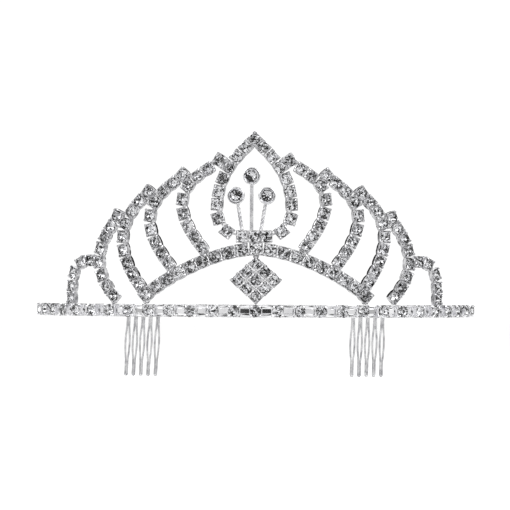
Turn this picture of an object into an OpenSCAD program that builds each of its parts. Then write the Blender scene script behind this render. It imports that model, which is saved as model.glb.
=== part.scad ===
// Bridal tiara.
// A springy headband carries a crown of claw cup chains: a low arch, a pointed
// teardrop standing on it, five petals on each side that lean on one another,
// a nine stone diamond under the arch and three stones on wire stalks.
// Two wire combs behind the headband hold it in the hair.
//
// Frame: -Y to the front, +Z up, +X to the right as seen from the front.
// Left and right in the names are as seen from the front, too.
// The origin lies midway between the two ends of the headband, at its lower edge.
//
// Everything in the crown is drawn flat first, as [u, z]: u is the distance
// along the headband from its middle and z the height above its lower edge.
// set_at() then wraps it round the headband's front face.

/* [Headband] */
// Radius of the headband's front, at the face that the cups sit on
front_radius = 112; // [95:1:140]
// Half the angle that the front radius covers
front_half_angle = 20; // [14:1:26]
// Radius of each side arm
side_radius = 54.5; // [46:0.5:70]
// Height of the headband strip
strip_h = 4.1; // [3.4:0.1:6]
// Thickness of the headband strip
strip_t = 0.7; // [0.4:0.05:1.2]
// Width of a cup on the headband
band_cup_w = 4.1; // [3.4:0.1:5]
// Distance between two cups on the headband
band_pitch = 6.95; // [5.6:0.05:7.6]
// Cups on each side of the middle one
band_side_cups = 13; // [9:1:14]
// Strip left bare past the middle of the last cup, before its round end
strip_tail = 3.4; // [2.6:0.1:6]
// Height of the flat bar that joins the headband's cups
band_link_h = 1.6; // [0.8:0.1:2.6]

/* [Cup chains] */
// Width of a cup on the arch
arch_cup_w = 4.05; // [3.4:0.05:4.3]
// Width of a cup on the teardrop
drop_cup_w = 3.8; // [3.2:0.05:4.2]
// Width of a cup on the petals
petal_cup_w = 3.6; // [3:0.05:3.8]
// Wall of a cup, at the middle of its side
cup_wall = 0.12; // [0.08:0.01:0.25]
// Floor of a cup under the stone's point
cup_floor = 0.25; // [0.15:0.05:0.5]
// Width of a claw
claw_w = 0.85; // [0.5:0.05:1.2]
// How far a claw rises above the stone's girdle
claw_rise = 0.36; // [0.25:0.01:0.5]
// How far a claw reaches in over the stone
claw_reach = 0.3; // [0.15:0.05:0.35]
// Least space between two cups of a chain
link_gap = 0.1; // [0.08:0.02:0.4]
// Diameter of the wire link between two cups
link_d = 0.8; // [0.5:0.05:1]

/* [Stones] */
// Depth below the girdle, for each mm of stone diameter
pavilion_depth = 0.42; // [0.36:0.01:0.46]
// Height above the girdle, for each mm of stone diameter
crown_height = 0.17; // [0.14:0.01:0.2]
// Width of the flat top, for each mm of stone diameter
table_width = 0.56; // [0.5:0.01:0.62]
// Thickness of the girdle
girdle_t = 0.1; // [0.05:0.01:0.16]

/* [Arch] */
// Height of the arch's centreline in the middle
arch_h = 21.9; // [19:0.1:25]
// Distance from the middle to the last cup of the arch
arch_half_span = 35.6; // [30:0.1:38]
// Angle at which the arch comes down on the headband
arch_angle = 41; // [36:1:50]
// Pull of the curve at the top of the arch
arch_top_pull = 12.4; // [8:0.1:18]
// Pull of the curve at its foot
arch_foot_pull = 8; // [5:0.1:12]

/* [Crown] */
// Sideways shift of the teardrop and the petals, to the left as seen from the front
crown_shift = 0.6; // [0:0.1:1.2]

/* [Teardrop] */
// Height of the apex cup's middle
apex_h = 57.2; // [52:0.1:62]
// Distance from the middle to the widest cup
drop_half_w = 11.9; // [10.5:0.1:13.5]
// Height at which the teardrop is widest
drop_belt_h = 34; // [32:0.1:38]
// Pull of the curve that leaves the widest point upward
drop_lower_pull = 10; // [6:0.5:12]
// Pull of the curve that reaches the apex
drop_upper_pull = 7.3; // [5:0.1:10]

/* [Petal 1] */
// Distance along the headband at which petal 1 stands on the arch
petal_1_foot = 15.1; // [13:0.1:17]
// Lean of its foot, outward from square to the arch
petal_1_lean = 17.5; // [0:0.5:20]
// Height at which its last cup lies against the teardrop
petal_1_seat = 48.3; // [45:0.1:50]
// Pull of the curve at the foot
petal_1_lower_pull = 25.8; // [20:0.1:30]
// Pull of the curve at the tip
petal_1_upper_pull = 4.6; // [2:0.1:8]

/* [Petal 2] */
// Distance along the headband at which petal 2 stands on the arch
petal_2_foot = 25.4; // [24:0.1:28]
// Lean of its foot, outward from square to the arch
petal_2_lean = 10; // [0:0.5:14]
// Height at which its last cup lies against petal 1
petal_2_seat = 43.3; // [41:0.1:46]
// Pull of the curve at the foot
petal_2_lower_pull = 23.8; // [18:0.1:28]
// Pull of the curve at the tip
petal_2_upper_pull = 5.8; // [2:0.1:8]

/* [Petal 3] */
// Distance along the headband at which petal 3 stands on the arch
petal_3_foot = 34.8; // [33:0.1:35]
// Lean of its foot, outward from square to the arch
petal_3_lean = -3.5; // [-5:0.5:8]
// Height at which its last cup lies against petal 2
petal_3_seat = 38.1; // [34:0.1:40]
// Pull of the curve at the foot
petal_3_lower_pull = 22.8; // [16:0.1:26]
// Pull of the curve at the tip
petal_3_upper_pull = 3.9; // [2:0.1:8]

/* [Petal 4] */
// Distance along the headband to the foot of petal 4
petal_4_foot = 46.5; // [45:0.1:50]
// Angle at which it leaves the headband
petal_4_angle = 45; // [42:1:70]
// Height at which its last cup lies against petal 3
petal_4_seat = 31.1; // [28:0.1:33]
// Pull of the curve at the foot
petal_4_lower_pull = 18.1; // [12:0.1:20]
// Pull of the curve at the tip
petal_4_upper_pull = 4.4; // [3:0.1:10]

/* [Petal 5] */
// Distance along the headband to the foot of petal 5, the small hook
petal_5_foot = 64.9; // [63:0.1:70]
// Height at which it meets petal 4
petal_5_seat = 18.3; // [17:0.1:22]
// Pull of the curve at the foot
petal_5_lower_pull = 5.9; // [2:0.1:8]
// Pull of the curve at the tip
petal_5_upper_pull = 8.7; // [5:0.1:11]

/* [Diamond] */
// Slope of the diamond's rows
diamond_slope = 42.5; // [40:0.5:45]
// Space between its cups
diamond_gap = 0.4; // [0.34:0.02:0.6]

/* [Stalks] */
// Diameter of the stalk wire
stalk_d = 1.15; // [0.8:0.05:1.5]
// Diameter of a round stone on a stalk
stalk_stone_d = 4.9; // [4:0.1:5.5]
// Wall of the round setting
bezel_wall = 0.2; // [0.12:0.02:0.4]
// Height of the middle stalk's stone
middle_stalk_h = 45.3; // [43:0.1:48]
// Height of the two side stalks' stones
side_stalk_h = 39; // [36:0.1:41]
// Distance from the middle to a side stalk's stone
side_stalk_top = 4.9; // [3.6:0.1:6]
// Distance from the middle to a side stalk's foot
side_stalk_foot = 2.4; // [1.8:0.1:4]
// Sideways shift of the three stalks in the teardrop, to the left as seen from the front
spray_shift = 0.9; // [0:0.1:1.5]

/* [Combs] */
// Distance along the headband to the middle of each comb
comb_at = 38; // [34:0.5:60]
// Teeth on each comb
comb_teeth = 5; // [3:1:7]
// Distance between two teeth
tooth_pitch = 2.58; // [2.4:0.02:3.4]
// Length of a tooth below the headband
tooth_length = 19.3; // [14:0.1:26]
// Diameter of the comb wire
comb_wire_d = 0.65; // [0.5:0.05:0.8]
// Width of a tooth at its eye
eye_w = 2.15; // [1.6:0.05:2.3]
// Length of a tooth's eye
eye_length = 10.9; // [8:0.1:12]
// Distance from the headband's lower edge down to the eye
eye_drop = 3.1; // [2:0.1:4]
// Height of the bar that carries the teeth
comb_bar_h = 2.4; // [1.6:0.1:3.2]
// Thickness of that bar
comb_bar_t = 0.9; // [0.6:0.1:1.4]

/* [Fits] */
// Space between two chains where they are soldered together
seat_gap = 0.14; // [0.1:0.02:0.24]
// Space between a stone and its pocket
stone_gap = 0.03; // [0.02:0.01:0.06]
// Diameter of a solder pad between a comb and the headband
pad_d = 1.8; // [1:0.1:2.4]
// Space between a piece and the backs of the cups behind which it lies
back_gap = 0.04; // [0.03:0.01:0.1]
// Space between the two wires of a tooth where they run together
wire_gap = 0.06; // [0.04:0.01:0.1]

/* [Hidden] */

$fn = 24;

METAL = "silver";
GLASS = "aliceblue";
DEG = 180 / PI;
SMOOTH = 40;         // samples along each curve of a chain's route
ROUND = 0.55;        // pull that makes a curve a quarter round
MIDDLE_LAP = 5;      // degrees by which the headband's halves overlap
END_BOW = 1.06;      // diameter of the headband's round end, for each mm of its height
CUP_FOOT = 0.6;      // radius that trims a cup's corners at its back, for each mm of its width
CUP_LIP = 0.68;      // the same at its claws
LINK_BITE = 0.5;     // how far a link runs into a cup
BAR_SLIMNESS = 0.7;  // thickness of a flat link, for each mm of a wire link's diameter
SETTING_FOOT = 0.8;  // radius of a round setting's back, for each mm of its room's radius
SETTING_FLARE = 3;   // height over which a round setting widens, in floor thicknesses
LIP_ROLL = 0.4;      // how far a lip stands up past the stone, for each mm of its rise
WIRE_TUCK = 0.2;     // how far the comb's wire stays below the top of its bar
WIRE_SWELL = 1.04;   // swelling of a bent wire where two bends meet
EYE_STEPS = 4;       // straight lengths down one side of a tooth's eye
DROP_R = 1;          // radius of a drop of solder
FOOT_DROP_R = 0.8;   // radius of a drop at the foot of a chain
DROP_SINK = 0.75;    // how far a drop's middle lies inside the cups, for each mm of its radius
EPS = 0.01;

// ---- the headband's plan: two radii, one for the front and one for each arm ----

front_u = front_radius * front_half_angle / DEG;
end_u = band_side_cups * band_pitch + strip_tail;
end_angle = plan_angle(end_u);
front_y = side_radius * cos(end_angle) - front_radius
        + (front_radius - side_radius) * cos(front_half_angle);
band_z = strip_h / 2;
band_top = band_z + max(strip_h, band_cup_w) / 2;

// Angle of the headband at distance u from its middle
function plan_angle(u) =
    sign(u) * DEG * (min(abs(u), front_u) / front_radius
                     + max(abs(u) - front_u, 0) / side_radius);

// Point at distance u, lifted off the seat face by `lift`
function plan_point(u, lift = 0) =
    let (a = plan_angle(u), r = abs(u) <= front_u ? front_radius : side_radius)
    [sign(u) * ((front_radius - r) * sin(front_half_angle) + (r + lift) * sin(abs(a))),
     front_y + front_radius - (front_radius - r) * cos(front_half_angle) - (r + lift) * cos(a)];

// Stands a child on the seat face: its X runs along `heading`, its Z points out
module set_at(u, z, heading = 0, lift = 0) {
    p = plan_point(u, lift);
    translate([p.x, p.y, z])
        rotate([90, 0, plan_angle(u)])
            rotate([0, 0, heading])
                children();
}

module on_side(side) {
    mirror([side == "left" ? 1 : 0, 0, 0])
        children();
}

// Sweeps a [out, up] outline along one half of the headband, from just past the
// middle to distance to_u. Both arcs start at the place where they join.
module sweep_half(to_u) {
    translate([0, front_y + front_radius, 0])
        rotate([0, 0, front_half_angle - 90]) {
            mirror([0, 1, 0])
                rotate_extrude(angle = front_half_angle + MIDDLE_LAP, $fn = 180)
                    translate([front_radius, 0])
                        children();
            translate([front_radius - side_radius, 0, 0])
                rotate_extrude(angle = plan_angle(to_u) - front_half_angle, $fn = 180)
                    translate([side_radius, 0])
                        children();
        }
}

// ---- routes: lists of [u, z, heading] ----

function step_to(p, heading, d) = [p.x + d * cos(heading), p.y + d * sin(heading)];
function folded(h) = h < -90 ? h + 360 : h;
// Half the width that a square of side w shows when it is turned by `turn`
function half_across(w, turn) = w / 2 * (abs(cos(turn)) + abs(sin(turn)));

// A curve that leaves p with one heading and reaches q with another
function curve(p, h0, pull0, q, h1, pull1) =
    let (a = [p.x, p.y], b = step_to(p, h0, pull0), c = step_to(q, h1, -pull1), d = [q.x, q.y])
    [for (i = [0:SMOOTH])
        let (t = i / SMOOTH, s = 1 - t,
             at = s^3 * a + 3 * s^2 * t * b + 3 * s * t^2 * c + t^3 * d,
             go = s^2 * (b - a) + 2 * s * t * (c - b) + t^2 * (d - c))
        [at.x, at.y, folded(atan2(go.y, go.x))]];

// Distance that a chain of cup width w uses up between two points of its route.
// It closes up on the inside of a bend, so a bend costs half a cup width of it.
function used(p, q, w) = norm([q.x - p.x, q.y - p.y]) - abs(q[2] - p[2]) / DEG * w / 2;

function used_so_far(route, w) =
    [for (i = 0, s = 0; i < len(route);
          i = i + 1, s = i < len(route) ? s + used(route[i - 1], route[i], w) : s) s];

// Cup places along a route, from its first point to its last, as evenly as they fit
function cups_along(route, w) =
    let (run = used_so_far(route, w),
         last = len(route) - 1,
         steps = max(1, floor(run[last] / (w + link_gap) + EPS)),
         place = [for (i = [0:last]) [run[i], i]])
    [for (k = [0:steps])
        let (at = lookup(run[last] * k / steps, place), i = min(floor(at), last - 1), f = at - i)
        route[i] * (1 - f) + route[i + 1] * f];

// The route's point at a height, for a route that climbs all the way
function at_height(route, z) =
    [lookup(z, [for (p = route) [p.y, p.x]]), z, lookup(z, [for (p = route) [p.y, p[2]]])];
// The route's point at a distance from the middle, for a route that leads away from it
function at_distance(route, u) =
    [u, lookup(u, [for (p = route) [p.x, p.y]]), lookup(u, [for (p = route) [p.x, p[2]]])];

// Where a cup lies flush against the outer side of a neighbouring chain
function beside(route, z, w_neighbour, w) =
    let (p = at_height(route, z))
    concat(step_to(p, p[2] - 90, (w_neighbour + w) / 2 + seat_gap), p[2]);

function mirrored(places) = [for (p = places) [-p.x, p.y, 180 - p[2]]];
function shifted(places, d) = [for (p = places) [p.x + d, p.y, p[2]]];
function reversed(list) = [for (i = [len(list) - 1:-1:0]) list[i]];
function without_first(list) = [for (i = [1:1:len(list) - 1]) list[i]];

// ---- arch ----

arch_foot_z = band_top + seat_gap + half_across(arch_cup_w, arch_angle);
arch_half = curve([0, arch_h], 0, arch_top_pull,
                  [arch_half_span, arch_foot_z], -arch_angle, arch_foot_pull);
arch_side = cups_along(arch_half, arch_cup_w);
arch_cups = concat(reversed(mirrored(without_first(arch_side))), arch_side);

// ---- teardrop ----

row_z = arch_h + (arch_cup_w + drop_cup_w) / 2 + seat_gap;
row_half = drop_cup_w + link_gap;
under_apex = step_to([0, apex_h], -45, drop_cup_w + link_gap);
drop_belly = curve([row_half, row_z], 0, ROUND * (drop_half_w - row_half),
                   [drop_half_w, drop_belt_h], 90, ROUND * (drop_belt_h - row_z));
drop_flank = curve([drop_half_w, drop_belt_h], 90, drop_lower_pull, under_apex, 135, drop_upper_pull);
drop_half = concat([[0, row_z, 0]], drop_belly, without_first(drop_flank));
drop_side = cups_along(drop_half, drop_cup_w);
drop_cups = shifted(concat(drop_side, [[0, apex_h, 45]], reversed(mirrored(without_first(drop_side)))),
                    -crown_shift);

// ---- petals ----

// Start of a petal that stands on the arch at distance u
function arch_seat(u, lean) =
    let (p = at_distance(arch_half, u),
         reach = arch_cup_w / 2 + seat_gap + half_across(petal_cup_w, lean))
    concat(step_to(p, p[2] + 90, reach), p[2] + 90 - lean);

// Start of a petal that stands on the headband at distance u
function band_seat(u, angle) =
    [u, band_top + seat_gap + half_across(petal_cup_w, angle), angle];

// From a foot, leaving it with one pull, to a tip, reaching it with another
function petal_route(foot, lower, tip, upper) = curve(foot, foot[2], lower, tip, tip[2], upper);

// Routes of one side's petals, drawn on the right and moved outward by `out`.
// Each leans on the one before it, the first on the teardrop, and the last bends
// over to butt against the fourth.
function petal_routes(out) =
    let (w = petal_cup_w,
         tip_1 = beside(shifted(drop_flank, out), petal_1_seat, drop_cup_w, w),
         one = petal_route(arch_seat(petal_1_foot + out, petal_1_lean), petal_1_lower_pull,
                           tip_1, petal_1_upper_pull),
         two = petal_route(arch_seat(petal_2_foot + out, petal_2_lean), petal_2_lower_pull,
                           beside(one, petal_2_seat, w, w), petal_2_upper_pull),
         three = petal_route(arch_seat(petal_3_foot + out, petal_3_lean), petal_3_lower_pull,
                             beside(two, petal_3_seat, w, w), petal_3_upper_pull),
         four = petal_route(band_seat(petal_4_foot + out, petal_4_angle), petal_4_lower_pull,
                            beside(three, petal_4_seat, w, w), petal_4_upper_pull),
         butt = beside(four, petal_5_seat, w, w),
         five = petal_route(band_seat(petal_5_foot + out, 90), petal_5_lower_pull,
                            [butt.x, butt.y, butt[2] + 90], petal_5_upper_pull))
    [one, two, three, four, five];

LEFT_PETALS = petal_routes(crown_shift);
RIGHT_PETALS = petal_routes(-crown_shift);
function petals(side) = side == "left" ? LEFT_PETALS : RIGHT_PETALS;

// ---- diamond ----

// Its cups are as large as the height between headband and arch allows
diamond_z = (band_top + arch_h - arch_cup_w / 2) / 2;
diamond_half_h = (arch_h - arch_cup_w / 2 - band_top) / 2 - seat_gap;
diamond_pitch = (diamond_half_h + diamond_gap * sqrt(2) / 2)
              / (2 * sin(diamond_slope) + sqrt(2) / 2);
diamond_cup_w = diamond_pitch - diamond_gap;
function diamond_cup(i, j) =
    [(i - j) * diamond_pitch * cos(diamond_slope),
     diamond_z + (i + j) * diamond_pitch * sin(diamond_slope), 45];

// ---- stones and the cups that hold them ----

function stone_d(w) = w - 2 * cup_wall - 2 * stone_gap;
function girdle_z(d) = cup_floor + stone_gap + d * pavilion_depth;
function rim_z(d) = girdle_z(d) + girdle_t;

module stone(d) {
    rim = rim_z(d);
    color(GLASS)
        rotate_extrude()
            polygon([[0, cup_floor + stone_gap], [d / 2, girdle_z(d)], [d / 2, rim],
                     [d / 2 * table_width, rim + d * crown_height], [0, rim + d * crown_height]]);
}

// The stone's room in its cup, with the way in between the claws left open
module pocket(d, reach, top) {
    r = d / 2 + stone_gap;
    slope = crown_height * d / (d / 2 * (1 - table_width));
    rim = rim_z(d) + stone_gap;
    rotate_extrude()
        polygon([[0, cup_floor], [r, girdle_z(d)], [r, rim],
                 [r - reach, rim + reach * slope], [r - reach, top + 1], [0, top + 1]]);
}

// A square claw cup, back on z = 0
module cup(w) {
    d = stone_d(w);
    top = rim_z(d) + claw_rise;
    color(METAL)
        difference() {
            intersection() {
                translate([-w / 2, -w / 2, 0])
                    cube([w, w, top]);
                union() {
                    translate([-w, -w, 0])
                        cube([2 * w, 2 * w, rim_z(d)]);
                    for (a = [45, 135])
                        rotate([0, 0, a])
                            translate([-w, -claw_w / 2, cup_floor])
                                cube([2 * w, claw_w, top - cup_floor]);
                }
                // draws the corners in, most of all at the foot
                cylinder(h = top, r1 = CUP_FOOT * w, r2 = CUP_LIP * w);
            }
            pocket(d, claw_reach, top);
        }
}

// The wire link from one cup to the next
module link(p, q, w) {
    d = q - p;
    gap = norm([d.x, d.y]) - w;
    color(METAL)
        set_at((p.x + q.x) / 2, (p.y + q.y) / 2, atan2(d.y, d.x))
            translate([0, 0, cup_floor + link_d / 2])
                rotate([0, 90, 0])
                    cylinder(d = link_d, h = gap + 2 * LINK_BITE, center = true);
}

module chain(places, w, closed = false) {
    for (p = places)
        set_at(p.x, p.y, p[2])
            cup(w);
    for (i = [1:1:len(places) - 1])
        link(places[i - 1], places[i], w);
    if (closed)
        link(places[len(places) - 1], places[0], w);
}

module stones(places, w) {
    for (p = places)
        set_at(p.x, p.y)
            stone(stone_d(w));
}

// ---- headband ----

// What is cut away to round the strip's end
module end_cut() {
    bow = strip_h * END_BOW;
    difference() {
        translate([bow / 4, -bow, -bow])
            cube(2 * bow);
        cylinder(d = bow, h = 4 * bow, center = true);
    }
}

module headband_strip() {
    color(METAL)
        for (side = ["left", "right"])
            on_side(side)
                difference() {
                    sweep_half(end_u + strip_h)
                        translate([-strip_t, 0])
                            square([strip_t, strip_h]);
                    set_at(end_u, strip_h / 2)
                        end_cut();
                }
}

band_cups = [for (i = [-band_side_cups:band_side_cups]) [i * band_pitch, band_z, 0]];

module band_chain() {
    link_t = link_d * BAR_SLIMNESS;
    color(METAL) {
        for (p = band_cups)
            set_at(p.x, p.y)
                cup(band_cup_w);
        for (i = [1:len(band_cups) - 1])
            set_at((band_cups[i - 1].x + band_cups[i].x) / 2, band_z, 0, back_gap)
                translate([0, 0, link_t / 2])
                    cube([band_pitch - band_cup_w + 2 * LINK_BITE, band_link_h, link_t], center = true);
    }
}

module band_stones() stones(band_cups, band_cup_w);

// ---- arch, teardrop, petals and diamond ----

module arch_chain() chain(arch_cups, arch_cup_w);
module arch_stones() stones(arch_cups, arch_cup_w);

module teardrop_chain() chain(drop_cups, drop_cup_w, closed = true);
module teardrop_stones() stones(drop_cups, drop_cup_w);

module petal_chain(number, side) {
    on_side(side)
        chain(cups_along(petals(side)[number - 1], petal_cup_w), petal_cup_w);
}

module petal_stones(number, side) {
    on_side(side)
        stones(cups_along(petals(side)[number - 1], petal_cup_w), petal_cup_w);
}

module diamond_chain() {
    for (i = [-1:1], j = [-1:1]) {
        p = diamond_cup(i, j);
        set_at(p.x, p.y, p[2])
            cup(diamond_cup_w);
        if (i < 1)
            link(p, diamond_cup(i + 1, j), diamond_cup_w);
        if (j < 1)
            link(p, diamond_cup(i, j + 1), diamond_cup_w);
    }
}

module diamond_stones() {
    stones([for (i = [-1:1], j = [-1:1]) diamond_cup(i, j)], diamond_cup_w);
}

// ---- stalks ----

// Foot and head of a stalk: side is -1, 0 or 1
spray_u = -crown_shift - spray_shift;
function stalk_foot(side) = [spray_u + side * side_stalk_foot, row_z - drop_cup_w / 2];
function stalk_head(side) =
    [spray_u + side * side_stalk_top, side == 0 ? middle_stalk_h : side_stalk_h];

// Wire from behind the teardrop's bottom row up to the back of its setting
module stalk(side) {
    foot = stalk_foot(side);
    head = stalk_head(side);
    middle = (foot + head) / 2;
    length = norm(head - foot);
    color(METAL)
        set_at(middle.x, middle.y, atan2(head.y - foot.y, head.x - foot.x), -back_gap - stalk_d / 2)
            rotate([0, 90, 0]) {
                cylinder(d = stalk_d, h = length, center = true);
                for (end = [-1, 1])
                    translate([0, 0, end * length / 2])
                        sphere(d = stalk_d);
            }
}

module on_stalk(side) {
    head = stalk_head(side);
    set_at(head.x, head.y)
        children();
}

// A round cup whose lip is rolled over the stone's edge
module setting(side) {
    d = stalk_stone_d;
    r = d / 2 + stone_gap;
    rim = rim_z(d) + stone_gap;
    lip_rise = bezel_wall * crown_height * d / (d / 2 * (1 - table_width));
    lip_top = rim + lip_rise * (1 + LIP_ROLL);
    color(METAL)
        on_stalk(side)
            rotate_extrude()
                polygon([[0, 0], [r * SETTING_FOOT, 0], [r + bezel_wall, cup_floor * SETTING_FLARE],
                         [r + bezel_wall, rim + lip_rise / 2], [r, lip_top],
                         [r - bezel_wall, lip_top], [r - bezel_wall, rim + lip_rise],
                         [r, rim], [r, girdle_z(d)], [0, cup_floor]]);
}

module stalk_stone(side) {
    on_stalk(side)
        stone(stalk_stone_d);
}

// ---- combs ----

// A comb is flat, and lies behind the strip square to its middle
comb_half = (comb_teeth - 1) / 2 * tooth_pitch + eye_w / 2;
comb_sag = comb_half^2 / (2 * side_radius);
comb_lift = -strip_t - comb_sag - back_gap;
leg_at = (comb_wire_d * WIRE_SWELL + wire_gap) / 2;
bend_r = (tooth_pitch - 2 * leg_at) / 2;
comb_top = (strip_h + comb_bar_h) / 2 - WIRE_TUCK;
leg_top = comb_top - comb_wire_d / 2 - bend_r;
tip_y = -tooth_length + comb_wire_d / 2 + leg_at;

// Places a child on the comb: X along it, Y up from the headband's lower edge, Z to the front
module comb_frame(side) {
    on_side(side)
        set_at(comb_at, 0, 0, comb_lift)
            children();
}

module comb_bar(side) {
    color(METAL)
        comb_frame(side)
            translate([-comb_half, (strip_h - comb_bar_h) / 2, -comb_bar_t])
                cube([2 * comb_half, comb_bar_h, comb_bar_t]);
}

// Wire bent in the comb's plane about a point, from one angle through another.
// A small swelling at each end blends it into the wire that follows.
module wire_bend(x, y, r, from, turn) {
    translate([x, y, 0])
        rotate([0, 0, from]) {
            rotate_extrude(angle = turn, $fn = 48)
                translate([r, 0])
                    circle(d = comb_wire_d);
            for (a = [0, turn])
                rotate([0, 0, a])
                    translate([r, 0, 0])
                        sphere(d = comb_wire_d * WIRE_SWELL);
        }
}

// Straight lengths of wire from point to point, with a small swelling at each corner
module wire_run(points) {
    for (i = [1:len(points) - 1]) {
        d = points[i] - points[i - 1];
        translate([points[i - 1].x, points[i - 1].y, 0])
            rotate([0, 0, atan2(d.y, d.x) - 90])
                rotate([-90, 0, 0])
                    cylinder(d = comb_wire_d, h = norm(d));
        if (i < len(points) - 1)
            translate([points[i].x, points[i].y, 0])
                sphere(d = comb_wire_d * WIRE_SWELL);
    }
}

// One leg of a tooth: down beside its twin, out round the eye and back to the tip
module tooth_leg() {
    bulge = (eye_w - comb_wire_d) / 2 - leg_at;
    wire_run([
        [leg_at, leg_top],
        for (i = [0:EYE_STEPS])
            [leg_at + bulge * sin(180 * i / EYE_STEPS), -eye_drop - eye_length * i / EYE_STEPS],
        [leg_at, tip_y]
    ]);
}

module comb_wire(side) {
    color(METAL)
        comb_frame(side)
            translate([0, 0, -comb_bar_t - back_gap - comb_wire_d * WIRE_SWELL / 2])
                for (i = [0:comb_teeth - 1])
                    translate([(i - (comb_teeth - 1) / 2) * tooth_pitch, 0, 0]) {
                        tooth_leg();
                        mirror([1, 0, 0])
                            tooth_leg();
                        wire_bend(0, tip_y, leg_at, 180, 180);
                        if (i < comb_teeth - 1)
                            wire_bend(tooth_pitch / 2, leg_top, bend_r, 0, 180);
                    }
}

// ---- solder ----

// A drop of solder on the backs of two pieces that meet at a point
module solder_drop(u, z, r = DROP_R) {
    color(METAL)
        set_at(u, z, 0, -back_gap)
            rotate([180, 0, 0])
                rotate_extrude()
                    intersection() {
                        translate([0, -r * DROP_SINK])
                            circle(r = r * (2 - DROP_SINK));
                        square([2 * r, r]);
                    }
}

module crown_solder() {
    foot_z = band_top + DROP_R;
    solder_drop(0, row_z - (drop_cup_w + seat_gap) / 2);
    solder_drop(0, diamond_z + diamond_half_h);
    solder_drop(0, foot_z, FOOT_DROP_R);
    for (side = ["left", "right"])
        on_side(side) {
            solder_drop(arch_half_span, foot_z, FOOT_DROP_R);
            for (i = [0:len(petals(side)) - 1]) {
                foot = petals(side)[i][0];
                tip = petals(side)[i][SMOOTH];
                on_arch = step_to(foot, foot[2], -petal_cup_w / 2);
                if (i < 3)
                    solder_drop(on_arch.x, on_arch.y);
                else
                    solder_drop(foot.x, foot_z, FOOT_DROP_R);
                // the last petal's tip butts end on, the others lie side by side
                neighbour = step_to(tip, tip[2] + (i < 4 ? 90 : 0), petal_cup_w / 2);
                solder_drop(neighbour.x, neighbour.y);
            }
        }
}

// A pad of solder between the bar and the strip, on each side of the comb's middle
module comb_solder() {
    pad_at = comb_half / 2;
    pad_sag = (pad_at + pad_d / 2)^2 / (2 * (side_radius - strip_t));
    color(METAL)
        for (side = ["left", "right"], end = [-1, 1])
            comb_frame(side)
                translate([end * pad_at, strip_h / 2, 0])
                    cylinder(d = pad_d, h = comb_sag + back_gap - pad_sag - EPS);
}

headband_strip();
band_chain();
band_stones();
arch_chain();
arch_stones();
teardrop_chain();
teardrop_stones();
petal_chain(1, "left");  // petal_1_left_chain
petal_stones(1, "left");  // petal_1_left_stones
petal_chain(1, "right");  // petal_1_right_chain
petal_stones(1, "right");  // petal_1_right_stones
petal_chain(2, "left");  // petal_2_left_chain
petal_stones(2, "left");  // petal_2_left_stones
petal_chain(2, "right");  // petal_2_right_chain
petal_stones(2, "right");  // petal_2_right_stones
petal_chain(3, "left");  // petal_3_left_chain
petal_stones(3, "left");  // petal_3_left_stones
petal_chain(3, "right");  // petal_3_right_chain
petal_stones(3, "right");  // petal_3_right_stones
petal_chain(4, "left");  // petal_4_left_chain
petal_stones(4, "left");  // petal_4_left_stones
petal_chain(4, "right");  // petal_4_right_chain
petal_stones(4, "right");  // petal_4_right_stones
petal_chain(5, "left");  // petal_5_left_chain
petal_stones(5, "left");  // petal_5_left_stones
petal_chain(5, "right");  // petal_5_right_chain
petal_stones(5, "right");  // petal_5_right_stones
diamond_chain();
diamond_stones();
stalk(0);  // stalk_middle
stalk(-1);  // stalk_left
stalk(1);  // stalk_right
setting(0);  // setting_middle
setting(-1);  // setting_left
setting(1);  // setting_right
stalk_stone(0);  // stalk_stone_middle
stalk_stone(-1);  // stalk_stone_left
stalk_stone(1);  // stalk_stone_right
comb_bar("left");  // comb_left_bar
comb_wire("left");  // comb_left_wire
comb_bar("right");  // comb_right_bar
comb_wire("right");  // comb_right_wire
comb_solder();
crown_solder();
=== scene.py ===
"""Bridal tiara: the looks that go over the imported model.

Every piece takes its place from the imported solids: a cup's place, width and
turn are read back from its chain, and a stone's from its own solid. The stones
are ground facet by facet, the cups are pressed from a ring, and each wire is
drawn along its own path. Lengths in the classes are in millimetres.
"""

import logging  # noqa: E402
import math  # noqa: E402
import random  # noqa: E402
from collections.abc import Callable, Iterable, Sequence  # noqa: E402
from dataclasses import dataclass, field  # noqa: E402
from enum import Enum  # noqa: E402
from itertools import combinations  # noqa: E402

import bmesh  # noqa: E402
import bpy  # noqa: E402
from mathutils import Matrix, Vector  # noqa: E402


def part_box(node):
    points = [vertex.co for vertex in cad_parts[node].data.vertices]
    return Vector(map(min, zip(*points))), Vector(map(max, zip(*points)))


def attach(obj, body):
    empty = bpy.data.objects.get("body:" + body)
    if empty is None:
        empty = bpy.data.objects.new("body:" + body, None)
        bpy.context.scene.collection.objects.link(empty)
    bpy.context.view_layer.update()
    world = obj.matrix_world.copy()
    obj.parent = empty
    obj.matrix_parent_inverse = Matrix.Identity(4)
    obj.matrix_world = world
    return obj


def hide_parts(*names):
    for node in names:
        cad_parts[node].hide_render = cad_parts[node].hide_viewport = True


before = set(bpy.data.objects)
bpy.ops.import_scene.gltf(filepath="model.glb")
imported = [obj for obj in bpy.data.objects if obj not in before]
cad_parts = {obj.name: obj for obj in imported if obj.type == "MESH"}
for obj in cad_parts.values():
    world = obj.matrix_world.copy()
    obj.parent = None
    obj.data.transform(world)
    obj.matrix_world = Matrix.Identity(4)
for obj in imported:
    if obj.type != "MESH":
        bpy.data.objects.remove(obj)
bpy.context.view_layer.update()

MM = 0.001
SEED = 20
# Face attribute holding each facet's random grey: painted sparkle, a painted reflection laid into
# the foil's colour
PAINTED_SPARKLE = "painted_sparkle_grey"
LOG = logging.getLogger("tiara")

# Least angle of an edge that stays sharp, in degrees: on round work, and on flat work
ROUND_EDGE = 38.0
FLAT_EDGE = 20.0

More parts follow.
